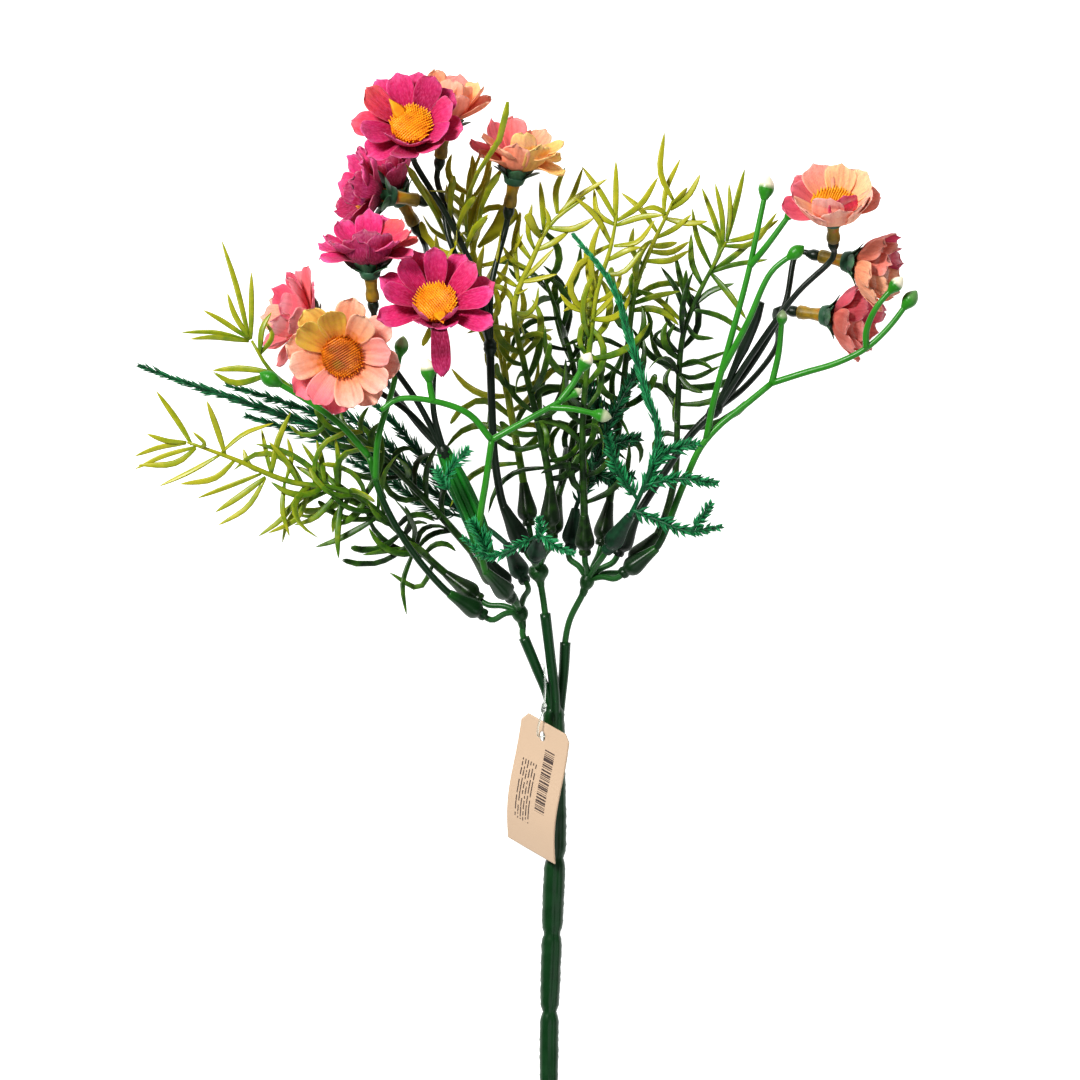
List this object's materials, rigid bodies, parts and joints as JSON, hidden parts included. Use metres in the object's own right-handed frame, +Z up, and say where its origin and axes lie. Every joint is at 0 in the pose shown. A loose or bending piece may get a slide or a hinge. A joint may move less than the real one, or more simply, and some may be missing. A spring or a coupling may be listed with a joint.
{
  "type": "artificial cosmos flower bunch",
  "caption": "Artificial cosmos daisy bunch on one forked stalk, with fabric blossoms, needle leaves, fern fronds, bud sprigs and a hang tag, lying down.",
  "frame": {"origin": "on the surface that the bunch lies on, under the middle of its box", "axes": "+Y along the stalk from its cut end towards the blossoms, +X to the right of the bunch seen from above, +Z up"},
  "size_m": [0.2472, 0.3176, 0.0888],
  "materials": {
    "stalk_plastic": "moulded, softly glossy",
    "inner_stem_plastic": "moulded, softly glossy",
    "bloom_stem_plastic": "moulded, satin",
    "bud_sprig_plastic": "moulded, satin, with cream or dark green buds",
    "needle_plastic": "moulded, dark green roots to yellow-green tips",
    "fern_plastic": "moulded, fine and matt",
    "petal_magenta": "woven fabric, heat pressed, magenta",
    "petal_coral": "woven fabric, heat pressed, coral",
    "petal_peach": "woven fabric, heat pressed, peach with pink ends",
    "petal_pink": "woven fabric, heat pressed, pink",
    "stamen_plastic": "moulded, bristly, yellow-orange",
    "sepal_plastic": "moulded, grey-green",
    "tag_paper": "smooth cream card with plain dark rules",
    "tie_nylon": "thin clear moulded loop"
  },
  "bodies": {
    "root": {"main_stalk": "stalk_plastic", "left_fork": "inner_stem_plastic", "middle_fork": "inner_stem_plastic", "right_fork": "inner_stem_plastic", "flowers_left": "bloom_stem_plastic", "flowers_top": "bloom_stem_plastic", "flowers_right": "bloom_stem_plastic", "buds_front": "bud_sprig_plastic", "buds_right": "bud_sprig_plastic", "buds_left": "bud_sprig_plastic", "hang_tag": "tag_paper", "tag_tie": "tie_nylon", "needles_left_low": "needle_plastic", "needles_left_high": "needle_plastic", "needles_top": "needle_plastic", "needles_middle": "needle_plastic", "needles_centre": "needle_plastic", "needles_right_tall": "needle_plastic", "needles_right_back": "needle_plastic", "needles_right": "needle_plastic", "fern_left": "fern_plastic", "fern_right": "fern_plastic", "fern_low": "fern_plastic", "fern_dark": "fern_plastic", "bloom_1_petals": "petal_magenta", "bloom_1_centre": "stamen_plastic", "bloom_1_sepals": "sepal_plastic", "bloom_2_petals": "petal_coral", "bloom_2_centre": "stamen_plastic", "bloom_2_sepals": "sepal_plastic", "bloom_3_petals": "petal_magenta", "bloom_3_centre": "stamen_plastic", "bloom_3_sepals": "sepal_plastic", "bloom_4_petals": "petal_magenta", "bloom_4_centre": "stamen_plastic", "bloom_4_sepals": "sepal_plastic", "bloom_5_petals": "petal_magenta", "bloom_5_centre": "stamen_plastic", "bloom_5_sepals": "sepal_plastic", "bloom_6_petals": "petal_magenta", "bloom_6_centre": "stamen_plastic", "bloom_6_sepals": "sepal_plastic", "bloom_7_petals": "petal_peach", "bloom_7_centre": "stamen_plastic", "bloom_7_sepals": "sepal_plastic", "bloom_8_petals": "petal_pink", "bloom_8_centre": "stamen_plastic", "bloom_8_sepals": "sepal_plastic", "bloom_9_petals": "petal_coral", "bloom_9_centre": "stamen_plastic", "bloom_9_sepals": "sepal_plastic", "bloom_10_petals": "petal_pink", "bloom_10_centre": "stamen_plastic", "bloom_10_sepals": "sepal_plastic", "bloom_11_petals": "petal_pink", "bloom_11_centre": "stamen_plastic", "bloom_11_sepals": "sepal_plastic", "bloom_12_petals": "petal_pink", "bloom_12_centre": "stamen_plastic", "bloom_12_sepals": "sepal_plastic"}
  },
  "joints": []
}
